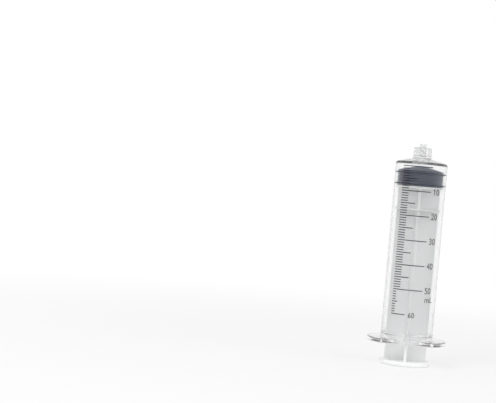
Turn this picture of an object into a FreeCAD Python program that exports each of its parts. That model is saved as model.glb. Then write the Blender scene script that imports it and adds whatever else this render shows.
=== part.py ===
"""Luer lock syringe of 60 mL with its plunger pushed nearly home, standing tip up on its thumb rest.

Row frame, in millimetres: the origin is the centre of the thumb rest's underside, +Z runs along the
axis to the luer tip, the finger flange's wings lie along X, and the scale faces -Y.
"""

import FreeCAD, Part
import Sketcher
import os

# Driving dimensions, in millimetres, degrees and millilitres.
DIMENSIONS = {
    # barrel tube
    "bore_diameter": 29.2,
    "barrel_wall": 1.2,
    "scale_ml": 60,
    "scale_margin": 15.5,
    "mouth_chamfer": 0.5,
    "back_stop_height": 0.3,
    "back_stop_crest": 0.6,
    "back_stop_inset": 5.2,
    # barrel end, luer taper and lock collar
    "cone_slope": 0.25,
    "end_wall": 1.6,
    "floor_wall": 1.8,
    "shoulder_edge": 1.0,
    "lumen_diameter": 2.5,
    "luer_tip_diameter": 3.95,
    "luer_taper": 0.06,
    "luer_length": 7.5,
    "luer_stand_out": 2.2,
    "luer_edge": 0.25,
    "collar_bore": 8.0,
    "collar_wall": 1.3,
    "collar_draft": 0.25,
    "collar_root": 0.6,
    "collar_edge": 0.3,
    # finger flange
    "flange_thickness": 2.4,
    "wing_reach": 8.2,
    "side_reach": 1.8,
    "wing_corner": 2.6,
    "flange_edge": 0.5,
    "flange_root": 0.9,
    # stopper
    "ring_clearance": 0.04,
    "ring_relief": 0.75,
    "ring_crest": 0.9,
    "ring_flank": 0.4,
    "ring_spacing": 6.8,
    "cone_land": 0.65,
    "foot_land": 0.3,
    "apex_diameter": 4.0,
    "seat_gap": 0.05,
    "stopper_skin": 2.6,
    "lip_height": 1.8,
    # plunger rod
    "rest_ml": 2.6,
    "thumb_gap": 7.0,
    "foot_play": 0.1,
    "head_clearance": 0.1,
    "neck_diameter": 15.6,
    "head_diameter": 20.0,
    "disc_clearance": 0.7,
    "front_disc": 1.6,
    "guide_disc": 1.2,
    "guide_spacing": 12.0,
    "fin_clearance": 1.9,
    "fin_root": 2.2,
    "fin_tip": 1.5,
    "fin_fillet": 0.8,
    # thumb rest
    "thumb_overhang": 0.6,
    "thumb_thickness": 2.8,
    "thumb_edge": 0.7,
    "thumb_rim": 2.6,
    "thumb_recess": 0.6,
    # printed scale, its sweeps measured round the barrel from the left end of the marks
    "minor_ml": 1,
    "major_ml": 10,
    "scale_start": 42.5,
    "minor_sweep": 17.5,
    "middle_sweep": 34.5,
    "major_sweep": 67.5,
    "spare_ml": 10,
    "spare_minor_sweep": 8.6,
    "spare_middle_sweep": 13.0,
    "spare_major_sweep": 33.0,
    "line_weight": 0.34,
    "ink_thickness": 0.06,
}

# Sizes and places that follow from them, each an expression of the document's own.
LAYOUT = {
    # radii
    "bore_radius": "dims.bore_diameter / 2",
    "barrel_radius": "layout.bore_radius + dims.barrel_wall",
    "mouth_radius": "layout.bore_radius + dims.mouth_chamfer",
    "back_stop_radius": "layout.bore_radius - dims.back_stop_height",
    "lumen_radius": "dims.lumen_diameter / 2",
    "tip_radius": "dims.luer_tip_diameter / 2",
    "luer_foot_radius": "layout.tip_radius + dims.luer_taper / 2 * (dims.luer_length - dims.luer_edge)",
    "collar_inside": "dims.collar_bore / 2",
    "collar_outside": "layout.collar_inside + dims.collar_wall",
    "collar_foot_radius": "layout.collar_outside + dims.collar_draft",
    "ring_radius": "layout.bore_radius - dims.ring_clearance",
    "relief_radius": "layout.ring_radius - dims.ring_relief",
    "apex_radius": "dims.apex_diameter / 2",
    "neck_radius": "dims.neck_diameter / 2",
    "head_radius": "dims.head_diameter / 2",
    "throat_radius": "layout.neck_radius + dims.head_clearance",
    "chamber_radius": "layout.head_radius + dims.head_clearance",
    "disc_radius": "layout.bore_radius - dims.disc_clearance",
    "fin_reach": "layout.bore_radius - dims.fin_clearance",
    "thumb_radius": "layout.bore_radius + dims.thumb_overhang",
    "recess_radius": "layout.thumb_radius - dims.thumb_rim",
    "ink_radius": "layout.barrel_radius + dims.ink_thickness",
    # outline of the finger flange, whose hole stays inside the barrel's wall
    "wing_radius": "layout.barrel_radius + dims.wing_reach",
    "side_half": "layout.barrel_radius + dims.side_reach",
    "wing_half": "sqrt(layout.wing_radius ^ 2 - layout.side_half ^ 2)",
    "flange_hole": "(layout.mouth_radius + layout.barrel_radius) / 2",
    # half heights of the rings
    "back_stop_half": "dims.back_stop_crest / 2 + dims.back_stop_height",
    "ring_half": "dims.ring_crest / 2 + dims.ring_flank",
    "line_half": "dims.line_weight / 2",
    # stopper, from the middle of its upper sealing ring, which reads the scale
    "cone_foot": "layout.ring_half + dims.cone_land",
    "apex": "layout.cone_foot + dims.cone_slope * (layout.relief_radius - layout.apex_radius)",
    "stopper_foot": "-dims.ring_spacing - layout.ring_half - dims.foot_land",
    "chamber_floor": "layout.stopper_foot + dims.lip_height",
    "chamber_top": "layout.apex - dims.stopper_skin",
    "chamber_drop": "dims.cone_slope * (layout.chamber_radius - layout.apex_radius)",
    "chamber_shoulder": "layout.chamber_top - layout.chamber_drop",
    # barrel, from its open end, where a millilitre is 1000 cubic millimetres of its bore
    "ml_length": "1000 / (pi * layout.bore_radius ^ 2)",
    "zero_mark": "dims.flange_thickness + dims.scale_margin + dims.scale_ml * layout.ml_length",
    "cone_drop": "dims.cone_slope * (layout.bore_radius - layout.relief_radius)",
    "cone_base": "layout.zero_mark + layout.cone_foot + dims.seat_gap - layout.cone_drop",
    "cone_top": "layout.cone_base + dims.cone_slope * (layout.bore_radius - layout.lumen_radius)",
    "collar_floor": "layout.cone_top + dims.floor_wall",
    "tip_end": "layout.collar_floor + dims.luer_length",
    "collar_end": "layout.tip_end - dims.luer_stand_out",
    "shoulder": "layout.cone_base + dims.end_wall - dims.cone_slope * dims.barrel_wall",
    "collar_foot": "layout.shoulder + dims.cone_slope * (layout.barrel_radius - layout.collar_foot_radius)",
    # assembly and plunger rod, from the thumb rest's underside
    "open_end": "dims.thumb_thickness + dims.thumb_gap + dims.rest_ml * layout.ml_length",
    "stopper_place": "layout.open_end + layout.zero_mark - dims.rest_ml * layout.ml_length",
    "front_face": "layout.stopper_place + layout.stopper_foot - dims.foot_play",
    "front_back": "layout.front_face - dims.front_disc",
    "guide_face": "layout.front_back - dims.guide_spacing",
    "guide_back": "layout.guide_face - dims.guide_disc",
    "head_foot": "layout.stopper_place + layout.chamber_floor + dims.head_clearance",
    "head_shoulder": "layout.stopper_place + layout.chamber_shoulder - dims.head_clearance",
    "head_nose": "layout.stopper_place + layout.chamber_top - dims.head_clearance",
}

# How near a round edge has to lie to the radius and height that it is looked up by.
EDGE_TOLERANCE = 0.01

doc = FreeCAD.newDocument("luer_lock_syringe")


def make_sheet():
    """The sheet of driving dimensions, one row each."""
    sheet = doc.addObject("Spreadsheet::Sheet", "dims")
    for row, (name, number) in enumerate(DIMENSIONS.items(), 1):
        sheet.set(f"A{row}", name)
        sheet.set(f"B{row}", str(number))
        sheet.setAlias(f"B{row}", name)
    doc.recompute()
    return sheet


def make_layout():
    """The set of sizes and places that follow from the sheet."""
    derived = doc.addObject("App::VarSet", "layout")
    for name in LAYOUT:
        derived.addProperty("App::PropertyFloat", name, "Layout")
    for name, expression in LAYOUT.items():
        derived.setExpression(name, expression)
    doc.recompute()
    return derived


def make_gauge():
    """A single number that nothing follows, for reading what an expression comes to."""
    gauge = doc.addObject("App::VarSet", "gauge")
    gauge.addProperty("App::PropertyFloat", "reading", "Layout")
    return gauge


def value(expression):
    """What an expression comes to, as a number."""
    gauge.setExpression("reading", expression)
    gauge.recompute()
    return gauge.reading


def origin_feature(body, role):
    """A plane or axis of a body's own origin."""
    return next(feature for feature in body.Origin.OriginFeatures if feature.Role == role)


def new_body(label, height="0"):
    """A body whose own origin stands on the axis at a height."""
    body = doc.addObject("PartDesign::Body", label.title().replace("_", ""))
    body.Label = label
    body.Placement = FreeCAD.Placement(FreeCAD.Vector(), FreeCAD.Rotation(FreeCAD.Vector(0, 0, 1), 0))
    body.setExpression("Placement.Base.z", height)
    return body


def new_sketch(body, name, plane, height="0"):
    """An empty sketch on one of a body's origin planes, or at a height above it."""
    sketch = body.newObject("Sketcher::SketchObject", name)
    sketch.AttachmentSupport = [(origin_feature(body, plane), "")]
    sketch.MapMode = "FlatFace"
    sketch.setExpression("AttachmentOffset.Base.z", height)
    return sketch


def bind(sketch, kind, places, expression):
    """A dimension of a sketch that follows an expression."""
    number = sketch.addConstraint(Sketcher.Constraint(kind, *places, value(expression)))
    sketch.setExpression(f"Constraints[{number}]", expression)


def outline(body, name, plane, corners, height="0"):
    """A closed outline of straight sides, each of its corners a pair of expressions."""
    sketch = new_sketch(body, name, plane, height)
    points = [FreeCAD.Vector(value(across), value(along), 0) for across, along in corners]
    for start, end in zip(points, points[1:] + points[:1]):
        sketch.addGeometry(Part.LineSegment(start, end), False)
    for number, (across, along) in enumerate(corners):
        before = (number - 1) % len(corners)
        sketch.addConstraint(Sketcher.Constraint("Coincident", before, 2, number, 1))
        if across == "0":
            sketch.addConstraint(Sketcher.Constraint("PointOnObject", number, 1, -2))
        else:
            bind(sketch, "DistanceX", (-1, 1, number, 1), across)
        if along == "0":
            sketch.addConstraint(Sketcher.Constraint("PointOnObject", number, 1, -1))
        else:
            bind(sketch, "DistanceY", (-1, 1, number, 1), along)
    return sketch


def add(body, kind, name, **settings):
    """A feature of a body: settings given as text follow that expression."""
    feature = body.newObject(f"PartDesign::{kind}", name)
    for setting, content in settings.items():
        if isinstance(content, str):
            feature.setExpression(setting, content)
        else:
            setattr(feature, setting, content)
    body.Tip = feature
    doc.recompute()
    return feature


def turned(body, name, corners, angle="360"):
    """An outline of radius and height, turned about the axis."""
    sketch = outline(body, f"{name}Outline", "XZ_Plane", corners)
    axis = (sketch, ["V_Axis"])
    return add(body, "Revolution", name, Profile=(sketch, [""]), ReferenceAxis=axis, Angle=angle)


def round_edges(body, radius, height):
    """Names of the tip's circular edges about the axis, at a radius and a height of the body's own."""
    found = []
    for number, edge in enumerate(body.Tip.Shape.Edges, 1):
        if not isinstance(edge.Curve, Part.Circle):
            continue
        middle = edge.Curve.Center
        errors = (middle.x, middle.y, middle.z - value(height), edge.Curve.Radius - value(radius))
        if max(abs(error) for error in errors) < EDGE_TOLERANCE:
            found.append(f"Edge{number}")
    return found


def upright_edges(body, reach, side):
    """Names of the tip's upright edges, wherever they stand that far out along X and Y."""
    found = []
    for number, edge in enumerate(body.Tip.Shape.Edges, 1):
        low, high = edge.Vertexes[0].Point, edge.Vertexes[-1].Point
        errors = (low.x - high.x, low.y - high.y, abs(low.x) - value(reach), abs(low.y) - value(side))
        if max(abs(error) for error in errors) < EDGE_TOLERANCE:
            found.append(f"Edge{number}")
    return found


def dress(body, kind, name, edges, **size):
    """A fillet or chamfer on edges of the body's tip."""
    if not edges:
        raise SystemExit(f"no edge found for {name}")
    return add(body, kind, name, Base=(body.Tip, edges), **size)


def build_barrel():
    """One clear moulding: tube, conical end, luer taper in its lock collar, and finger flange."""
    body = new_body("barrel", "layout.open_end")
    turned(body, "Tube", [
        ("layout.mouth_radius", "0"),
        ("layout.bore_radius", "dims.mouth_chamfer"),
        ("layout.bore_radius", "dims.back_stop_inset - layout.back_stop_half"),
        ("layout.back_stop_radius", "dims.back_stop_inset - dims.back_stop_crest / 2"),
        ("layout.back_stop_radius", "dims.back_stop_inset + dims.back_stop_crest / 2"),
        ("layout.bore_radius", "dims.back_stop_inset + layout.back_stop_half"),
        ("layout.bore_radius", "layout.cone_base"),
        ("layout.lumen_radius", "layout.cone_top"),
        ("layout.lumen_radius", "layout.tip_end"),
        ("layout.tip_radius - dims.luer_edge", "layout.tip_end"),
        ("layout.tip_radius", "layout.tip_end - dims.luer_edge"),
        ("layout.luer_foot_radius", "layout.collar_floor"),
        ("layout.collar_inside", "layout.collar_floor"),
        ("layout.collar_inside", "layout.collar_end - dims.collar_edge"),
        ("layout.collar_inside + dims.collar_edge", "layout.collar_end"),
        ("layout.collar_outside - dims.collar_edge", "layout.collar_end"),
        ("layout.collar_outside", "layout.collar_end - dims.collar_edge"),
        ("layout.collar_foot_radius", "layout.collar_foot"),
        ("layout.barrel_radius", "layout.shoulder"),
        ("layout.barrel_radius", "0"),
    ])
    shoulder = round_edges(body, "layout.barrel_radius", "layout.shoulder")
    dress(body, "Chamfer", "Shoulder", shoulder, Size="dims.shoulder_edge")
    root = round_edges(body, "layout.collar_foot_radius", "layout.collar_foot")
    dress(body, "Chamfer", "CollarRoot", root, Size="dims.collar_root")

    add(body, "Pad", "Flange", Profile=(flange_sketch(body), [""]), Length="dims.flange_thickness")
    corners = upright_edges(body, "layout.wing_half", "layout.side_half")
    dress(body, "Fillet", "WingCorners", corners, Radius="dims.wing_corner")
    edges = round_edges(body, "layout.wing_radius", "0")
    edges += round_edges(body, "layout.wing_radius", "dims.flange_thickness")
    dress(body, "Chamfer", "FlangeEdges", edges, Size="dims.flange_edge")
    root = round_edges(body, "layout.barrel_radius", "dims.flange_thickness")
    dress(body, "Chamfer", "FlangeRoot", root, Size="dims.flange_root")
    return body


def flange_sketch(body):
    """Two round wings along X joined by straight sides, with a hole inside the barrel's wall."""
    sketch = new_sketch(body, "FlangeOutline", "XY_Plane")
    wing, half, side = (value(f"layout.{name}") for name in ("wing_radius", "wing_half", "side_half"))
    corners = [FreeCAD.Vector(half, -side, 0), FreeCAD.Vector(half, side, 0)]
    corners += [FreeCAD.Vector(-half, side, 0), FreeCAD.Vector(-half, -side, 0)]
    tips = [FreeCAD.Vector(wing, 0, 0), FreeCAD.Vector(-wing, 0, 0)]
    middle, up = FreeCAD.Vector(), FreeCAD.Vector(0, 0, 1)
    east = sketch.addGeometry(Part.Arc(corners[0], tips[0], corners[1]), False)
    north = sketch.addGeometry(Part.LineSegment(corners[1], corners[2]), False)
    west = sketch.addGeometry(Part.Arc(corners[2], tips[1], corners[3]), False)
    south = sketch.addGeometry(Part.LineSegment(corners[3], corners[0]), False)
    hole = sketch.addGeometry(Part.Circle(middle, up, value("layout.flange_hole")), False)
    for first, second in ((east, north), (north, west), (west, south), (south, east)):
        sketch.addConstraint(Sketcher.Constraint("Coincident", first, 2, second, 1))
    for curve, radius in ((east, "wing_radius"), (west, "wing_radius"), (hole, "flange_hole")):
        sketch.addConstraint(Sketcher.Constraint("Coincident", curve, 3, -1, 1))
        bind(sketch, "Radius", (curve,), f"layout.{radius}")
    for line, distance in ((north, "layout.side_half"), (south, "-layout.side_half")):
        sketch.addConstraint(Sketcher.Constraint("Horizontal", line))
        bind(sketch, "DistanceY", (-1, 1, line, 1), distance)
    return sketch


def sealing_ring(middle):
    """Corners of one sealing ring on the stopper's outline, from its lower flank to its upper one."""
    return [
        ("layout.relief_radius", f"{middle} - layout.ring_half"),
        ("layout.ring_radius", f"{middle} - dims.ring_crest / 2"),
        ("layout.ring_radius", f"{middle} + dims.ring_crest / 2"),
        ("layout.relief_radius", f"{middle} + layout.ring_half"),
    ]


def build_stopper():
    """The rubber stopper: two sealing rings, a conical face, and a chamber for the rod's head."""
    body = new_body("stopper", "layout.stopper_place")
    turned(body, "Moulding", [
        ("layout.throat_radius", "layout.stopper_foot"),
        ("layout.relief_radius", "layout.stopper_foot"),
        *sealing_ring("-dims.ring_spacing"),
        *sealing_ring("0"),
        ("layout.relief_radius", "layout.cone_foot"),
        ("layout.apex_radius", "layout.apex"),
        ("0", "layout.apex"),
        ("0", "layout.chamber_top"),
        ("layout.apex_radius", "layout.chamber_top"),
        ("layout.chamber_radius", "layout.chamber_shoulder"),
        ("layout.chamber_radius", "layout.chamber_floor"),
        ("layout.throat_radius", "layout.chamber_floor"),
    ])
    return body


def build_plunger_rod():
    """One stiff moulding: thumb rest, four tapered fins, guide disc, front disc, neck and head."""
    body = new_body("plunger_rod")
    turned(body, "ThumbRest", [
        ("0", "dims.thumb_recess"),
        ("layout.recess_radius", "dims.thumb_recess"),
        ("layout.recess_radius", "0"),
        ("layout.thumb_radius - dims.thumb_edge", "0"),
        ("layout.thumb_radius", "dims.thumb_edge"),
        ("layout.thumb_radius", "dims.thumb_thickness - dims.thumb_edge"),
        ("layout.thumb_radius - dims.thumb_edge", "dims.thumb_thickness"),
        ("0", "dims.thumb_thickness"),
    ])

    fins = outline(body, "FinSection", "XY_Plane", fin_corners(), "dims.thumb_thickness")
    add(body, "Pad", "Fins", Profile=(fins, [""]), Length="layout.front_back - dims.thumb_thickness")
    roots = upright_edges(body, "dims.fin_root / 2", "dims.fin_root / 2")
    dress(body, "Fillet", "FinRoots", roots, Radius="dims.fin_fillet")
    turned(body, "GuideDisc", [
        ("0", "layout.guide_back"),
        ("layout.disc_radius", "layout.guide_back"),
        ("layout.disc_radius", "layout.guide_face"),
        ("0", "layout.guide_face"),
    ])
    turned(body, "Head", [
        ("0", "layout.front_back"),
        ("layout.disc_radius", "layout.front_back"),
        ("layout.disc_radius", "layout.front_face"),
        ("layout.neck_radius", "layout.front_face"),
        ("layout.neck_radius", "layout.head_foot"),
        ("layout.head_radius", "layout.head_foot"),
        ("layout.head_radius", "layout.head_shoulder"),
        ("layout.apex_radius", "layout.head_nose"),
        ("0", "layout.head_nose"),
    ])
    return body


def fin_corners():
    """Corners of the cross-shaped section, whose fins grow thinner from the root to the tip."""
    across, along = "layout.fin_reach", "dims.fin_tip / 2"
    root = "dims.fin_root / 2"
    corners = [(across, f"-{along}"), (across, along), (root, root)]
    corners += [(along, across), (f"-{along}", across), (f"-{root}", root)]
    corners += [(f"-{across}", along), (f"-{across}", f"-{along}"), (f"-{root}", f"-{root}")]
    corners += [(f"-{along}", f"-{across}"), (along, f"-{across}"), (root, f"-{root}")]
    return corners


def build_scale():
    """The printed marks, a film of ink, with the middle of the zero line at the body's origin.

    Their sweeps start from the sketch's +X, which a quarter turn and the start's angle bring round
    to the left end of the marks, on the barrel's -Y side.
    """
    body = new_body("scale_marks", "layout.open_end + layout.zero_mark")
    body.setExpression("Placement.Rotation.Angle", "-90 - dims.scale_start")
    minor, major, half, end = "dims.minor_ml", "dims.major_ml", "dims.major_ml / 2", "dims.scale_ml"
    main = "(dims.scale_ml - dims.spare_ml)"
    marks(body, "Minor", "dims.minor_sweep", "0", main, minor)
    marks(body, "Middle", "dims.middle_sweep", half, f"{main} - {half}", major)
    marks(body, "Major", "dims.major_sweep", "0", main, major)
    marks(body, "SpareMinor", "dims.spare_minor_sweep", f"{main} + {minor}", f"{end} - {minor}", minor)
    marks(body, "SpareMiddle", "dims.spare_middle_sweep", f"{end} - {half}", f"{end} - {half}", major)
    marks(body, "SpareMajor", "dims.spare_major_sweep", end, end, major)
    return body


def marks(body, name, sweep, first, last, step):
    """A row of equal marks down the barrel, from the first millilitre to the last in whole steps."""
    steps = f"floor(({last} - ({first})) / {step})"
    middle = f"-({first}) * layout.ml_length"
    mark = turned(body, name, [
        ("layout.barrel_radius", f"{middle} - layout.line_half"),
        ("layout.ink_radius", f"{middle} - layout.line_half"),
        ("layout.ink_radius", f"{middle} + layout.line_half"),
        ("layout.barrel_radius", f"{middle} + layout.line_half"),
    ], sweep)
    if value(steps) < 1:
        return
    add(body, "LinearPattern", f"{name}Row", Originals=[mark],
        Direction=(origin_feature(body, "Z_Axis"), [""]), Reversed=True,
        Length=f"{steps} * {step} * layout.ml_length", Occurrences=f"{steps} + 1")


sheet = make_sheet()
layout = make_layout()
gauge = make_gauge()
bodies = [build_barrel(), build_stopper(), build_plunger_rod(), build_scale()]
doc.recompute()

for item in doc.Objects:
    if "Invalid" in item.State or "Error" in item.State:
        raise SystemExit(f"{item.Label} failed to build: {item.State}")
for body in bodies:
    if body.Shape.isNull() or not body.Shape.isValid():
        raise SystemExit(f"{body.Label} has no valid shape")

os.makedirs("parts", exist_ok=True)
for body in bodies:
    body.Shape.exportStep(f"parts/{body.Label}.step")
    box = body.Shape.BoundBox
    print(f"{body.Label}: {len(body.Shape.Solids)} solids, volume {body.Shape.Volume:.1f} mm3,"
          f" z {box.ZMin:.3f} to {box.ZMax:.3f}, x {box.XMin:.2f} to {box.XMax:.2f}")
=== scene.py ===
"""A 60 mL luer lock syringe standing tip up on its thumb rest, its plunger pushed nearly home.

Metres, in the part's own frame: +Z runs along the axis to the luer tip, the finger flange's wings
lie along X, and the scale faces -Y.
"""

import math
import bmesh
import bpy
from mathutils import Matrix, Vector


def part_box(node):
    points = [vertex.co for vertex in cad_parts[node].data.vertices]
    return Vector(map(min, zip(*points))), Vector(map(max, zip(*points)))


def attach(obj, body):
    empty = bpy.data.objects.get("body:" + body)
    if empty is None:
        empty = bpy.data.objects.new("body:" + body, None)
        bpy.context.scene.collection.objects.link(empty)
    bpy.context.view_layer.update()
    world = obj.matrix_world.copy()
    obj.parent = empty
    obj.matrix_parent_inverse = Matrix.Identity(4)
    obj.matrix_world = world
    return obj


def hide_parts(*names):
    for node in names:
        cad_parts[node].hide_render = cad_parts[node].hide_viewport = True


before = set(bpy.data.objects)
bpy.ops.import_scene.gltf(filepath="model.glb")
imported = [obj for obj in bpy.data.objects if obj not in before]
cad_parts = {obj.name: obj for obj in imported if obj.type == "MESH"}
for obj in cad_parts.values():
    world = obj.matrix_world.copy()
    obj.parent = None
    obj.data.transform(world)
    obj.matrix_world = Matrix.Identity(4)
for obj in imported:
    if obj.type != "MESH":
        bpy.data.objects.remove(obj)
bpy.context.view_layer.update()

MM = 0.001

# Barrel: one clear polypropylene moulding, the tube, its conical end with the luer cone and lock
# collar, and the finger flange round its open end. The collar's thread is moulded in one with it,
# and a low ring inside the mouth stops the plunger.

barrel_low, barrel_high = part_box("barrel")
open_end = barrel_low.z
tip_end = barrel_high.z
bore_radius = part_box("stopper")[1].x + 0.04 * MM
barrel_wall = 1.2 * MM
barrel_radius = bore_radius + barrel_wall
mouth_chamfer = 0.5 * MM
back_stop_height = 0.3 * MM
back_stop_crest = 0.6 * MM
back_stop_middle = open_end + 5.2 * MM

end_slope = 0.25
end_wall = 1.6 * MM
floor_wall = 1.8 * MM
lumen_radius = 1.25 * MM
luer_tip_radius = 1.975 * MM
luer_length = 7.5 * MM
luer_foot_radius = luer_tip_radius + 0.03 * luer_length
collar_inside = 4.0 * MM
collar_outside = 5.3 * MM
collar_foot_radius = collar_outside + 0.25 * MM
collar_end = tip_end - 2.2 * MM
collar_floor = tip_end - luer_length
cone_top = collar_floor - floor_wall
cone_base = cone_top - end_slope * (bore_radius - lumen_radius)
shoulder = cone_base + end_wall - end_slope * barrel_wall
collar_foot = shoulder + end_slope * (barrel_radius - collar_foot_radius)

flange_thickness = 2.4 * MM
flange_top = open_end + flange_thickness
wing_radius = barrel_high.x
side_half = barrel_high.y
wing_corner = 2.6 * MM
flange_rim = 0.9 * MM
flange_root = 0.9 * MM
plate_slack = 0.01 * MM
barrel_steps = 360
fillet_step = 15
crisp_angle = math.radians(28)
weld = 0.0001 * MM


def turned(corners, steps):
    """A solid of revolution: corners of (radius, height, fillet) joined up, rounded and spun."""
    mesh = bmesh.new()
    points = [mesh.verts.new((radius, 0, height)) for radius, height, fillet in corners]
    on_axis = corners[0][0] == 0
    for start, end in zip(points, points[1:] if on_axis else points[1:] + points[:1]):
        mesh.edges.new((start, end))
    places = [point.co.copy() for point in points]
    for number, (point, (radius, height, fillet)) in enumerate(zip(points, corners)):
        if not fillet:
            continue
        arriving = places[number] - places[number - 1]
        leaving = places[(number + 1) % len(places)] - places[number]
        turn = arriving.angle(leaving)
        bmesh.ops.bevel(mesh, geom=[point], offset=fillet * math.tan(turn / 2),
                        offset_type="OFFSET", profile=0.5, affect="VERTICES", material=-1,
                        segments=max(2, round(math.degrees(turn) / fillet_step)))
    bmesh.ops.spin(mesh, geom=mesh.verts[:] + mesh.edges[:], cent=(0, 0, 0), axis=(0, 0, 1),
                   angle=math.tau, steps=steps, use_merge=True)
    bmesh.ops.remove_doubles(mesh, verts=mesh.verts[:], dist=weld)
    bmesh.ops.recalc_face_normals(mesh, faces=mesh.faces[:])
    return mesh


def finished(mesh, name, material):
    """The mesh as a named piece, smooth but for its crisp edges, its big faces kept true."""
    data = bpy.data.meshes.new(name)
    mesh.to_mesh(data)
    mesh.free()
    data.materials.append(material)
    data.shade_smooth()
    data.set_sharp_from_angle(angle=crisp_angle)
    piece = bpy.data.objects.new(name, data)
    bpy.context.scene.collection.objects.link(piece)
    weighting = piece.modifiers.new("TrueFaces", "WEIGHTED_NORMAL")
    weighting.keep_sharp = True
    return piece


def joined(first, *others):
    """One mesh from several that overlap, by exact unions."""
    pieces = []
    for mesh in (first, *others):
        data = bpy.data.meshes.new("part")
        mesh.to_mesh(data)
        mesh.free()
        piece = bpy.data.objects.new("part", data)
        bpy.context.scene.collection.objects.link(piece)
        pieces.append(piece)
    base = pieces[0]
    for piece in pieces[1:]:
        union = base.modifiers.new("Union", "BOOLEAN")
        union.operation = "UNION"
        union.solver = "EXACT"
        union.object = piece
    whole = bmesh.new()
    whole.from_object(base, bpy.context.evaluated_depsgraph_get())
    for piece in pieces:
        bpy.data.meshes.remove(piece.data)
    bmesh.ops.dissolve_degenerate(whole, edges=whole.edges[:], dist=weld)
    bmesh.ops.recalc_face_normals(whole, faces=whole.faces[:])
    return whole


def flange_reach(angle):
    """How far the flange's outline lies from the axis: round wings, flat sides, rounded corners."""
    across = abs(math.cos(angle))
    along = abs(math.sin(angle))
    middle_y = side_half - wing_corner
    middle_x = math.sqrt((wing_radius - wing_corner) ** 2 - middle_y ** 2)
    if math.atan2(along, across) < math.atan2(middle_y, middle_x):
        return wing_radius
    if math.atan2(along, across) > math.atan2(side_half, middle_x):
        return side_half / along
    nearest = middle_x * across + middle_y * along
    return nearest + math.sqrt(nearest ** 2 - middle_x ** 2 - middle_y ** 2 + wing_corner ** 2)


barrel_mesh = turned([
    (bore_radius + mouth_chamfer, open_end, 0.2 * MM),
    (bore_radius, open_end + mouth_chamfer, 0.2 * MM),
    (bore_radius, back_stop_middle - back_stop_crest / 2 - back_stop_height, 0.2 * MM),
    (bore_radius - back_stop_height, back_stop_middle - back_stop_crest / 2, 0.2 * MM),
    (bore_radius - back_stop_height, back_stop_middle + back_stop_crest / 2, 0.2 * MM),
    (bore_radius, back_stop_middle + back_stop_crest / 2 + back_stop_height, 0.2 * MM),
    (bore_radius, cone_base, 0.4 * MM),
    (lumen_radius, cone_top, 0.3 * MM),
    (lumen_radius, tip_end, 0.12 * MM),
    (luer_tip_radius, tip_end, 0.25 * MM),
    (luer_foot_radius, collar_floor, 0.3 * MM),
    (collar_inside, collar_floor, 0.3 * MM),
    (collar_inside, collar_end, 0.3 * MM),
    (collar_outside, collar_end, 0.35 * MM),
    (collar_foot_radius, collar_foot, 0.9 * MM),
    (barrel_radius, shoulder, 1.6 * MM),
    (barrel_radius, flange_top, flange_root),
    (wing_radius, flange_top, 0.6 * MM),
    (wing_radius, open_end, 0.6 * MM),
], barrel_steps)

# The flange was spun as a round plate: its rim moves in to the outline, and the plate follows.
rim_start = wing_radius - flange_rim
for vert in barrel_mesh.verts:
    radius = math.hypot(vert.co.x, vert.co.y)
    if vert.co.z > flange_top + plate_slack or radius < rim_start:
        continue
    reach = flange_reach(math.atan2(vert.co.y, vert.co.x)) - (wing_radius - radius)
    vert.co.x *= reach / radius
    vert.co.y *= reach / radius

# Double-start lock thread inside the collar, right-handed, with a lead of 5 mm.
thread_lead = 5 * MM
thread_height = 0.45 * MM
thread_base = 1.1 * MM
thread_crest = 0.5 * MM
thread_seat = 0.15 * MM
thread_setback = 0.9 * MM
thread_turn = math.radians(230)
thread_rise = thread_lead * thread_turn / math.tau
thread_steps = 60
threads = []
for start in (0, math.pi):
    thread = bmesh.new()
    low = collar_end - thread_setback - thread_rise
    section = [
        (collar_inside + thread_seat, low - thread_base / 2),
        (collar_inside - thread_height, low - thread_crest / 2),
        (collar_inside - thread_height, low + thread_crest / 2),
        (collar_inside + thread_seat, low + thread_base / 2),
    ]
    points = [thread.verts.new((radius, 0, height)) for radius, height in section]
    face = thread.faces.new(points)
    bmesh.ops.spin(thread, geom=[face] + thread.edges[:] + thread.verts[:], cent=(0, 0, 0),
                   axis=(0, 0, 1), angle=thread_turn, steps=thread_steps,
                   dvec=(0, 0, thread_rise / thread_steps))
    bmesh.ops.rotate(thread, verts=thread.verts[:], cent=(0, 0, 0),
                     matrix=Matrix.Rotation(start, 3, "Z"))
    bmesh.ops.recalc_face_normals(thread, faces=thread.faces[:])
    threads.append(thread)


plastic_ior = 1.49
cloud_scale = 160
cloud_stretch = 0.22
pebble_scale = 900
pebble_depth = 0.02 * MM


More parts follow.
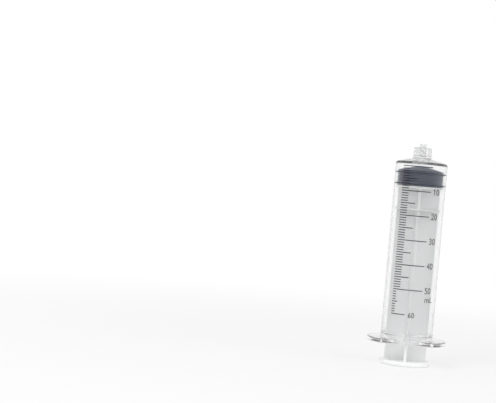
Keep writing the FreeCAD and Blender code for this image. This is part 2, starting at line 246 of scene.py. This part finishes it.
def plastic(name, colours, roughness, transmission, grain):
    """Moulded polypropylene: a faint cloudiness that runs along the piece, and a soft gloss."""
    material = bpy.data.materials.new(name)
    material.use_nodes = True
    nodes = material.node_tree.nodes
    links = material.node_tree.links
    shader = nodes["Principled BSDF"]
    shader.inputs["IOR"].default_value = plastic_ior
    shader.inputs["Transmission Weight"].default_value = transmission
    place = nodes.new("ShaderNodeTexCoord")
    stretch = nodes.new("ShaderNodeMapping")
    stretch.inputs["Scale"].default_value = (1, 1, cloud_stretch)
    cloud = nodes.new("ShaderNodeTexNoise")
    cloud.inputs["Scale"].default_value = cloud_scale
    cloud.inputs["Detail"].default_value = 4
    shade = nodes.new("ShaderNodeValToRGB")
    shade.color_ramp.elements[0].position = 0.3
    shade.color_ramp.elements[0].color = (*colours[0], 1)
    shade.color_ramp.elements[1].position = 0.7
    shade.color_ramp.elements[1].color = (*colours[1], 1)
    gloss = nodes.new("ShaderNodeMapRange")
    gloss.inputs["To Min"].default_value = roughness[0]
    gloss.inputs["To Max"].default_value = roughness[1]
    pebble = nodes.new("ShaderNodeTexNoise")
    pebble.inputs["Scale"].default_value = pebble_scale
    pebble.inputs["Detail"].default_value = 3
    relief = nodes.new("ShaderNodeBump")
    relief.inputs["Strength"].default_value = grain
    relief.inputs["Distance"].default_value = pebble_depth
    links.new(place.outputs["Object"], stretch.inputs["Vector"])
    links.new(stretch.outputs["Vector"], cloud.inputs["Vector"])
    links.new(cloud.outputs["Fac"], shade.inputs["Fac"])
    links.new(shade.outputs["Color"], shader.inputs["Base Color"])
    links.new(cloud.outputs["Fac"], gloss.inputs["Value"])
    links.new(gloss.outputs["Result"], shader.inputs["Roughness"])
    links.new(place.outputs["Object"], pebble.inputs["Vector"])
    links.new(pebble.outputs["Fac"], relief.inputs["Height"])
    links.new(relief.outputs["Normal"], shader.inputs["Normal"])
    return material


clear_colours = [(0.985, 0.988, 0.99), (0.992, 0.994, 0.995)]
clear_roughness = (0.08, 0.13)
clear_transmission = 0.98
clear_plastic = plastic("clear_polypropylene", clear_colours, clear_roughness,
                        clear_transmission, grain=0.0)

# The thick end round the luer cone is cloudier than the thin tube.
end_cloud = 0.14
clear_tree = clear_plastic.node_tree
clear_place = clear_tree.nodes["Texture Coordinate"]
clear_gloss = clear_tree.nodes["Map Range"]
clear_shader = clear_tree.nodes["Principled BSDF"]
clear_height = clear_tree.nodes.new("ShaderNodeSeparateXYZ")
clear_end = clear_tree.nodes.new("ShaderNodeMapRange")
clear_end.inputs["From Min"].default_value = shoulder
clear_end.inputs["From Max"].default_value = collar_floor
clear_end.inputs["To Max"].default_value = end_cloud
clear_sum = clear_tree.nodes.new("ShaderNodeMath")
clear_tree.links.new(clear_place.outputs["Object"], clear_height.inputs["Vector"])
clear_tree.links.new(clear_height.outputs["Z"], clear_end.inputs["Value"])
clear_tree.links.new(clear_end.outputs["Result"], clear_sum.inputs[0])
clear_tree.links.new(clear_gloss.outputs["Result"], clear_sum.inputs[1])
clear_tree.links.new(clear_sum.outputs["Value"], clear_shader.inputs["Roughness"])

barrel = finished(joined(barrel_mesh, *threads), "barrel_moulding", clear_plastic)
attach(barrel, "barrel")
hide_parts("barrel")

# Scale: dark ink printed on the barrel's front. There is a line for each mL, longer ones at each
# 5 and 10 mL down to 50 mL, and from there to 60 mL a spare scale of shorter lines. Numbers stand
# beside the lines of each 10 mL, with the unit under the 50.

scale_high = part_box("scale_marks")[1]
solid_line_weight = 0.34 * MM
line_weight = 0.5 * MM
scale_ml = 60
main_ml = 50
ml_length = 1000 * MM ** 3 / (math.pi * bore_radius ** 2)
zero_mark = scale_high.z - solid_line_weight / 2
scale_start = math.radians(42.5)
ink_gap = 0.006 * MM
ink_reach = 0.055 * MM
ink_inside = barrel_radius + ink_gap
ink_outside = barrel_radius + ink_reach
ink_step = math.radians(2)


def line_sweep(ml):
    """How far round the barrel the line of a millilitre runs, in radians."""
    if ml > main_ml:
        degrees = 33.0 if ml == scale_ml else 13.0 if ml % 10 == 5 else 8.6
    else:
        degrees = 67.5 if ml % 10 == 0 else 34.5 if ml % 10 == 5 else 17.5
    return math.radians(degrees)


def wrapped_angle(degrees):
    """An angle round the barrel, counted from its -Y side towards +X, as one from +X."""
    return math.radians(degrees) - math.pi / 2


lines = bmesh.new()
for ml in range(scale_ml + 1):
    middle = zero_mark - ml * ml_length
    corners = [(ink_inside, -line_weight / 2), (ink_outside, -line_weight / 2),
               (ink_outside, line_weight / 2), (ink_inside, line_weight / 2)]
    points = [lines.verts.new((radius, 0, middle + height)) for radius, height in corners]
    face = lines.faces.new(points)
    start = Matrix.Rotation(-math.pi / 2 - scale_start, 3, "Z")
    bmesh.ops.rotate(lines, verts=points, cent=(0, 0, 0), matrix=start)
    bmesh.ops.spin(lines, geom=[face] + list(face.edges) + points, cent=(0, 0, 0), axis=(0, 0, 1),
                   angle=line_sweep(ml), steps=max(2, round(line_sweep(ml) / ink_step)))
bmesh.ops.recalc_face_normals(lines, faces=lines.faces[:])

# A label is its words, its degrees round the barrel, its mL, its height and its letters' width.
labels = [(str(ml), 39.0, ml, 3.9 * MM, 0.88) for ml in range(10, scale_ml, 10)]
labels += [("mL", 43.5, 53.6, 3.5 * MM, 1.05), ("60", 4.5, scale_ml + 0.2, 3.25 * MM, 0.88)]
letter_spacing = 1.02
letter_strips = 12
letter_weld = 0.001 * MM

# In the letters' own units: a capital's height, the shortest edge kept, and the flag of the 1.
capital = 0.729
shortest_edge = 0.0005
flag_reach = 0.13
flag_weight = 0.1


def add_flag(letters):
    """Gives the 1, a bare upright stem in these letters, the slanting flag at its top."""
    stem = min(letters.faces, key=lambda face: face.calc_center_median().x)
    left = min(vert.co.x for vert in stem.verts)
    right = max(vert.co.x for vert in stem.verts)
    foot = min(vert.co.y for vert in stem.verts)
    top = max(vert.co.y for vert in stem.verts)
    bmesh.ops.delete(letters, geom=[stem], context="FACES")
    corners = [(left, foot), (right, foot), (right, top), (left, top),
               (left - flag_reach, top - flag_reach),
               (left - flag_reach, top - flag_reach - flag_weight),
               (left, top - flag_weight)]
    letters.faces.new([letters.verts.new((across, up, 0)) for across, up in corners])


def printed(words, degrees, ml, tall, width):
    """Words printed on the barrel: flat letters, cut into narrow strips and wrapped round it."""
    curve = bpy.data.curves.new(words, "FONT")
    curve.body = words
    curve.align_x = "CENTER"
    curve.align_y = "CENTER"
    curve.space_character = letter_spacing
    writing = bpy.data.objects.new(words, curve)
    bpy.context.scene.collection.objects.link(writing)
    shown = writing.evaluated_get(bpy.context.evaluated_depsgraph_get())
    flat = bpy.data.meshes.new_from_object(shown)
    letters = bmesh.new()
    letters.from_mesh(flat)
    bpy.data.meshes.remove(flat)
    bpy.data.curves.remove(curve)
    bmesh.ops.dissolve_limit(letters, angle_limit=0.01, verts=letters.verts[:],
                             edges=letters.edges[:])
    bmesh.ops.dissolve_degenerate(letters, edges=letters.edges[:], dist=shortest_edge)
    if words.startswith("1"):
        add_flag(letters)
    scale = tall / capital
    bmesh.ops.scale(letters, vec=(scale * width, scale, 1), verts=letters.verts[:])
    letters.normal_update()
    half_width = max(abs(vert.co.x) for vert in letters.verts)
    for strip in range(-letter_strips, letter_strips + 1):
        bmesh.ops.bisect_plane(letters, geom=letters.verts[:] + letters.edges[:] + letters.faces[:],
                               plane_co=(half_width * strip / letter_strips, 0, 0),
                               plane_no=(1, 0, 0))
    bmesh.ops.remove_doubles(letters, verts=letters.verts[:], dist=letter_weld)
    raised = bmesh.ops.extrude_face_region(letters, geom=letters.faces[:])["geom"]
    tops = [item for item in raised if isinstance(item, bmesh.types.BMVert)]
    bmesh.ops.translate(letters, verts=tops, vec=(0, 0, ink_outside - ink_inside))
    for vert in letters.verts:
        angle = wrapped_angle(degrees) + vert.co.x / barrel_radius
        radius = ink_inside + vert.co.z
        height = zero_mark - ml * ml_length + vert.co.y
        vert.co = (radius * math.cos(angle), radius * math.sin(angle), height)
    letters.normal_update()
    return letters


numbers = bmesh.new()
for label in labels:
    letters = printed(*label)
    spare = bpy.data.meshes.new("letters")
    letters.to_mesh(spare)
    letters.free()
    numbers.from_mesh(spare)
    bpy.data.meshes.remove(spare)

ink = bpy.data.materials.new("printing_ink")
ink.use_nodes = True
ink_nodes = ink.node_tree.nodes
ink_links = ink.node_tree.links
ink_shader = ink_nodes["Principled BSDF"]
ink_shader.inputs["Specular IOR Level"].default_value = 0.2
ink_place = ink_nodes.new("ShaderNodeTexCoord")
ink_density = ink_nodes.new("ShaderNodeTexNoise")
ink_density.inputs["Scale"].default_value = 1400
ink_density.inputs["Detail"].default_value = 3
ink_shade = ink_nodes.new("ShaderNodeValToRGB")
ink_shade.color_ramp.elements[0].position = 0.35
ink_shade.color_ramp.elements[0].color = (0.008, 0.009, 0.012, 1)
ink_shade.color_ramp.elements[1].position = 0.75
ink_shade.color_ramp.elements[1].color = (0.022, 0.023, 0.028, 1)
ink_gloss = ink_nodes.new("ShaderNodeMapRange")
ink_gloss.inputs["To Min"].default_value = 0.42
ink_gloss.inputs["To Max"].default_value = 0.6
ink_links.new(ink_place.outputs["Object"], ink_density.inputs["Vector"])
ink_links.new(ink_density.outputs["Fac"], ink_shade.inputs["Fac"])
ink_links.new(ink_shade.outputs["Color"], ink_shader.inputs["Base Color"])
ink_links.new(ink_density.outputs["Fac"], ink_gloss.inputs["Value"])
ink_links.new(ink_gloss.outputs["Result"], ink_shader.inputs["Roughness"])

scale_lines = finished(lines, "scale_lines", ink)
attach(scale_lines, "barrel")
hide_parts("scale_marks")
scale_numbers = finished(numbers, "scale_numbers", ink)
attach(scale_numbers, "barrel")

# Stopper: one moulding of dark rubber. Two rounded rings seal against the bore, the face is a
# cone like the barrel's end, and the lip at its foot snaps over the head of the plunger rod.

stopper_low, stopper_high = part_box("stopper")
inner_steps = 180
ring_press = 0.005 * MM
ring_height = 0.75 * MM
ring_crest = 0.9 * MM
ring_flank = 0.4 * MM
ring_spacing = 6.8 * MM
ring_setback = 0.65 * MM
ring_radius = bore_radius + ring_press
ring_half = ring_crest / 2 + ring_flank
relief_radius = stopper_high.x - ring_height
apex_radius = 2.0 * MM
cone_foot = stopper_high.z - end_slope * (relief_radius - apex_radius)
upper_ring = cone_foot - ring_setback - ring_half
chamber_radius = 10.1 * MM
throat_radius = 7.9 * MM
lip_height = 1.8 * MM
crown_wall = 2.6 * MM
chamber_floor = stopper_low.z + lip_height
chamber_top = stopper_high.z - crown_wall
chamber_shoulder = chamber_top - end_slope * (chamber_radius - apex_radius)


def sealing_ring(middle):
    """Corners of one rounded sealing ring, from its lower flank to its upper one."""
    return [
        (relief_radius, middle - ring_half, 0.25 * MM),
        (ring_radius, middle - ring_crest / 2, 0.35 * MM),
        (ring_radius, middle + ring_crest / 2, 0.35 * MM),
        (relief_radius, middle + ring_half, 0.25 * MM),
    ]


stopper_mesh = turned([
    (0, chamber_top, 0),
    (apex_radius, chamber_top, 0.5 * MM),
    (chamber_radius, chamber_shoulder, 0.4 * MM),
    (chamber_radius, chamber_floor, 0.3 * MM),
    (throat_radius, chamber_floor, 0.4 * MM),
    (throat_radius, stopper_low.z, 0.4 * MM),
    (relief_radius, stopper_low.z, 0.12 * MM),
    *sealing_ring(upper_ring - ring_spacing),
    *sealing_ring(upper_ring),
    (relief_radius, cone_foot, 0.3 * MM),
    (apex_radius, stopper_high.z, 0.6 * MM),
    (0, stopper_high.z, 0),
], inner_steps)

rubber = bpy.data.materials.new("dark_rubber")
rubber.use_nodes = True
rubber_nodes = rubber.node_tree.nodes
rubber_links = rubber.node_tree.links
rubber_shader = rubber_nodes["Principled BSDF"]
rubber_shader.inputs["Specular IOR Level"].default_value = 0.35
rubber_place = rubber_nodes.new("ShaderNodeTexCoord")
rubber_bloom = rubber_nodes.new("ShaderNodeTexNoise")
rubber_bloom.inputs["Scale"].default_value = 260
rubber_bloom.inputs["Detail"].default_value = 5
rubber_shade = rubber_nodes.new("ShaderNodeValToRGB")
rubber_shade.color_ramp.elements[0].position = 0.3
rubber_shade.color_ramp.elements[0].color = (0.005, 0.015, 0.048, 1)
rubber_shade.color_ramp.elements[1].position = 0.75
rubber_shade.color_ramp.elements[1].color = (0.01, 0.026, 0.076, 1)
rubber_gloss = rubber_nodes.new("ShaderNodeMapRange")
rubber_gloss.inputs["To Min"].default_value = 0.34
rubber_gloss.inputs["To Max"].default_value = 0.5
rubber_grain = rubber_nodes.new("ShaderNodeTexNoise")
rubber_grain.inputs["Scale"].default_value = 2600
rubber_relief = rubber_nodes.new("ShaderNodeBump")
rubber_relief.inputs["Strength"].default_value = 0.3
rubber_relief.inputs["Distance"].default_value = 0.02 * MM
rubber_links.new(rubber_place.outputs["Object"], rubber_bloom.inputs["Vector"])
rubber_links.new(rubber_bloom.outputs["Fac"], rubber_shade.inputs["Fac"])
rubber_links.new(rubber_shade.outputs["Color"], rubber_shader.inputs["Base Color"])
rubber_links.new(rubber_bloom.outputs["Fac"], rubber_gloss.inputs["Value"])
rubber_links.new(rubber_gloss.outputs["Result"], rubber_shader.inputs["Roughness"])
rubber_links.new(rubber_place.outputs["Object"], rubber_grain.inputs["Vector"])
rubber_links.new(rubber_grain.outputs["Fac"], rubber_relief.inputs["Height"])
rubber_links.new(rubber_relief.outputs["Normal"], rubber_shader.inputs["Normal"])

stopper = finished(stopper_mesh, "rubber_stopper", rubber)
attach(stopper, "stopper")
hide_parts("stopper")

# Plunger rod: one moulding of milky polypropylene. Four fins in a cross run from the thumb rest to
# the front disc, a second disc guides them in the bore, and the button head holds the stopper.

rod_low, rod_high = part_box("plunger_rod")
thumb_radius = rod_high.x
thumb_thickness = 2.8 * MM
thumb_recess = 0.6 * MM
thumb_rim = 2.6 * MM
recess_radius = thumb_radius - thumb_rim
ridge_pitch = 3.2 * MM
ridge_width = 1.0 * MM
ridge_height = 0.35 * MM
snap_play = 0.1 * MM
head_nose = rod_high.z
head_radius = 10.0 * MM
neck_radius = 7.8 * MM
head_shoulder = head_nose - end_slope * (head_radius - apex_radius)
head_foot = chamber_floor + snap_play
front_thickness = 1.6 * MM
guide_thickness = 1.2 * MM
guide_spacing = 12.0 * MM
front_face = stopper_low.z - snap_play
front_back = front_face - front_thickness
guide_face = front_back - guide_spacing
guide_back = guide_face - guide_thickness
disc_play = 0.7 * MM
disc_radius = bore_radius - disc_play
fin_play = 1.9 * MM
fin_reach = bore_radius - fin_play
fin_root = 2.2 * MM
fin_tip = 1.5 * MM
fin_seat = 0.3 * MM
fin_rounding = 0.3 * MM
root_rounding = 0.8 * MM

underside = [(0, rod_low.z + thumb_recess, 0)]
for ridge in (1, 2, 3):
    inner = ridge * ridge_pitch - ridge_width / 2
    outer = ridge * ridge_pitch + ridge_width / 2
    for radius, depth in ((inner, thumb_recess), (inner, thumb_recess - ridge_height),
                          (outer, thumb_recess - ridge_height), (outer, thumb_recess)):
        underside.append((radius, rod_low.z + depth, 0.15 * MM))
thumb_rest = turned(underside + [
    (recess_radius, rod_low.z + thumb_recess, 0.2 * MM),
    (recess_radius, rod_low.z, 0.25 * MM),
    (thumb_radius, rod_low.z, 0.9 * MM),
    (thumb_radius, rod_low.z + thumb_thickness, 0.9 * MM),
    (0, rod_low.z + thumb_thickness, 0),
], inner_steps)
guide_disc = turned([
    (0, guide_back, 0),
    (disc_radius, guide_back, 0.25 * MM),
    (disc_radius, guide_face, 0.25 * MM),
    (0, guide_face, 0),
], inner_steps)
head = turned([
    (0, front_back, 0),
    (disc_radius, front_back, 0.3 * MM),
    (disc_radius, front_face, 0.3 * MM),
    (neck_radius, front_face, 0.3 * MM),
    (neck_radius, head_foot, 0.2 * MM),
    (head_radius, head_foot, 0.3 * MM),
    (head_radius, head_shoulder, 0.4 * MM),
    (apex_radius, head_nose, 0.4 * MM),
    (0, head_nose, 0),
], inner_steps)

# The fins' cross, each quarter of its outline a tip and the rounded corner between two fins.
fins = bmesh.new()
fin_start = rod_low.z + thumb_thickness - fin_seat
outline = []
for quarter in range(4):
    turn = Matrix.Rotation(quarter * math.pi / 2, 4, "Z")
    for across, along in ((fin_reach, -fin_tip / 2), (fin_reach, fin_tip / 2),
                          (fin_root / 2, fin_root / 2)):
        outline.append(fins.verts.new(turn @ Vector((across, along, fin_start))))
for start, end in zip(outline, outline[1:] + outline[:1]):
    fins.edges.new((start, end))
tips = [point for number, point in enumerate(outline) if number % 3 < 2]
roots = [point for number, point in enumerate(outline) if number % 3 == 2]
bmesh.ops.bevel(fins, geom=tips, offset=fin_rounding, offset_type="OFFSET", segments=4,
                profile=0.5, affect="VERTICES", material=-1)
bmesh.ops.bevel(fins, geom=roots, offset=root_rounding, offset_type="OFFSET", segments=5,
                profile=0.5, affect="VERTICES", material=-1)
bmesh.ops.contextual_create(fins, geom=fins.edges[:])
raised = bmesh.ops.extrude_face_region(fins, geom=fins.faces[:])["geom"]
bmesh.ops.translate(fins, verts=[item for item in raised if isinstance(item, bmesh.types.BMVert)],
                    vec=(0, 0, front_back + fin_seat - fin_start))
bmesh.ops.recalc_face_normals(fins, faces=fins.faces[:])

milky_colours = [(0.95, 0.955, 0.96), (0.98, 0.983, 0.985)]
milky_roughness = (0.28, 0.4)
milky_grain = 0.1
milky_plastic = plastic("milky_polypropylene", milky_colours, milky_roughness,
                        transmission=0.0, grain=milky_grain)
milky_shader = milky_plastic.node_tree.nodes["Principled BSDF"]
milky_shader.inputs["Subsurface Weight"].default_value = 0.15
milky_shader.inputs["Subsurface Radius"].default_value = (1, 1, 1)
milky_shader.inputs["Subsurface Scale"].default_value = 1.2 * MM
rod = finished(joined(thumb_rest, fins, guide_disc, head), "plunger_rod_moulding", milky_plastic)
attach(rod, "plunger_rod")
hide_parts("plunger_rod")

# Studio: a pale floor with a soft shadow, a white backdrop, two large lamps and an even sky.

white_rays = ("Is Camera Ray", "Is Glossy Ray", "Is Transmission Ray")


def seen_directly(tree):
    """A value of 1 where a ray from the camera, a reflection or a clear piece meets the surface."""
    path = tree.nodes.new("ShaderNodeLightPath")
    total = path.outputs[white_rays[0]]
    for ray in white_rays[1:]:
        larger = tree.nodes.new("ShaderNodeMath")
        larger.operation = "MAXIMUM"
        tree.links.new(total, larger.inputs[0])
        tree.links.new(path.outputs[ray], larger.inputs[1])
        total = larger.outputs["Value"]
    return total


floor_half = 3.0
floor_mesh = bmesh.new()
bmesh.ops.create_grid(floor_mesh, x_segments=2, y_segments=2, size=floor_half)
floor_data = bpy.data.meshes.new("floor")
floor_mesh.to_mesh(floor_data)
floor_mesh.free()
floor = bpy.data.objects.new("floor", floor_data)
bpy.context.scene.collection.objects.link(floor)
floor_paint = bpy.data.materials.new("floor_paint")
floor_paint.use_nodes = True
floor_tree = floor_paint.node_tree
floor_shader = floor_tree.nodes["Principled BSDF"]
floor_shader.inputs["Base Color"].default_value = (0.86, 0.86, 0.86, 1)
floor_shader.inputs["Roughness"].default_value = 0.9
floor_shader.inputs["Specular IOR Level"].default_value = 0.1
floor_glow = floor_tree.nodes.new("ShaderNodeEmission")
floor_glow.inputs["Color"].default_value = (1, 1, 1, 1)
floor_place = floor_tree.nodes.new("ShaderNodeTexCoord")
floor_distance = floor_tree.nodes.new("ShaderNodeVectorMath")
floor_distance.operation = "LENGTH"
floor_fade = floor_tree.nodes.new("ShaderNodeMapRange")
floor_fade.interpolation_type = "SMOOTHSTEP"
floor_fade.inputs["From Min"].default_value = 0.12
floor_fade.inputs["From Max"].default_value = 0.6
floor_fade.inputs["To Min"].default_value = 0.7
floor_share = floor_tree.nodes.new("ShaderNodeMath")
floor_share.operation = "MULTIPLY"
floor_tree.links.new(floor_place.outputs["Object"], floor_distance.inputs[0])
floor_tree.links.new(floor_distance.outputs["Value"], floor_fade.inputs["Value"])
floor_tree.links.new(floor_fade.outputs["Result"], floor_share.inputs[1])
floor_mix = floor_tree.nodes.new("ShaderNodeMixShader")
floor_tree.links.new(seen_directly(floor_tree), floor_share.inputs[0])
floor_tree.links.new(floor_share.outputs["Value"], floor_mix.inputs["Fac"])
floor_tree.links.new(floor_shader.outputs["BSDF"], floor_mix.inputs[1])
floor_tree.links.new(floor_glow.outputs["Emission"], floor_mix.inputs[2])
floor_output = floor_tree.nodes["Material Output"]
floor_tree.links.new(floor_mix.outputs["Shader"], floor_output.inputs["Surface"])
floor_data.materials.append(floor_paint)

# The sky is white to the camera and through clear plastic. Reflections see its front half dimmer,
# as in a room, and its light on the object is soft.

world = bpy.data.worlds.new("soft_sky")
bpy.context.scene.world = world
world.use_nodes = True
sky_tree = world.node_tree
sky = sky_tree.nodes["Background"]
sky.inputs["Color"].default_value = (1, 1, 1, 1)
sky_level = 0.65
sky_strength = sky_tree.nodes.new("ShaderNodeMapRange")
sky_strength.inputs["To Min"].default_value = sky_level
sky_place = sky_tree.nodes.new("ShaderNodeTexCoord")
sky_side = sky_tree.nodes.new("ShaderNodeSeparateXYZ")
sky_path = sky_tree.nodes.new("ShaderNodeLightPath")
sky_room = sky_tree.nodes.new("ShaderNodeMapRange")
sky_room.inputs["From Min"].default_value = -0.7
sky_room.inputs["From Max"].default_value = 0.5
sky_room.inputs["To Min"].default_value = 0.22
sky_mirror = sky_tree.nodes.new("ShaderNodeMath")
sky_mirror.operation = "SUBTRACT"
sky_mirror.use_clamp = True
sky_white = sky_tree.nodes.new("ShaderNodeMix")
sky_white.inputs["A"].default_value = 1.0
sky_tree.links.new(sky_place.outputs["Generated"], sky_side.inputs["Vector"])
sky_tree.links.new(sky_side.outputs["Y"], sky_room.inputs["Value"])
sky_tree.links.new(sky_path.outputs["Is Glossy Ray"], sky_mirror.inputs[0])
sky_tree.links.new(sky_path.outputs["Is Transmission Ray"], sky_mirror.inputs[1])
sky_tree.links.new(sky_mirror.outputs["Value"], sky_white.inputs["Factor"])
sky_tree.links.new(sky_room.outputs["Result"], sky_white.inputs["B"])
sky_tree.links.new(seen_directly(sky_tree), sky_strength.inputs["Value"])
sky_tree.links.new(sky_white.outputs["Result"], sky_strength.inputs["To Max"])
sky_tree.links.new(sky_strength.outputs["Result"], sky.inputs["Strength"])


def lamp(name, place, target, width, power):
    """A square soft lamp that points at a target."""
    light = bpy.data.lights.new(name, "AREA")
    light.size = width
    light.energy = power
    holder = bpy.data.objects.new(name, light)
    holder.location = place
    holder.rotation_euler = (Vector(target) - Vector(place)).to_track_quat("-Z", "Y").to_euler()
    bpy.context.scene.collection.objects.link(holder)
    return holder


lamp_target = (0, 0, 0.08)
lamp("key_lamp", (-0.45, -0.7, 0.75), lamp_target, width=0.5, power=4.2)
lamp("fill_lamp", (0.75, -0.35, 0.45), lamp_target, width=0.6, power=1.9)

# Camera: found from the printed scale's seven numbered lines and the stopper's two rings.

camera_place = Vector((-0.01724502, -0.86238402, 0.10517035))
camera_forward = Vector((-0.10049922, 0.99480157, -0.01642354)).normalized()
camera_up = Vector((-0.08734947, 0.00762135, 0.99614858))
frame_width_px = 496
focal_length_px = 1400
camera_right = camera_forward.cross(camera_up).normalized()
camera_up = camera_right.cross(camera_forward).normalized()
lens = bpy.data.cameras.new("camera")
lens.sensor_width = 36
lens.lens = lens.sensor_width * focal_length_px / frame_width_px
lens.clip_start = 0.01
lens.clip_end = 20
camera = bpy.data.objects.new("camera", lens)
turn = Matrix((camera_right, camera_up, -camera_forward)).transposed().to_4x4()
camera.matrix_world = Matrix.Translation(camera_place) @ turn
bpy.context.scene.collection.objects.link(camera)
bpy.context.scene.camera = camera
bpy.context.scene.view_settings.view_transform = "Standard"
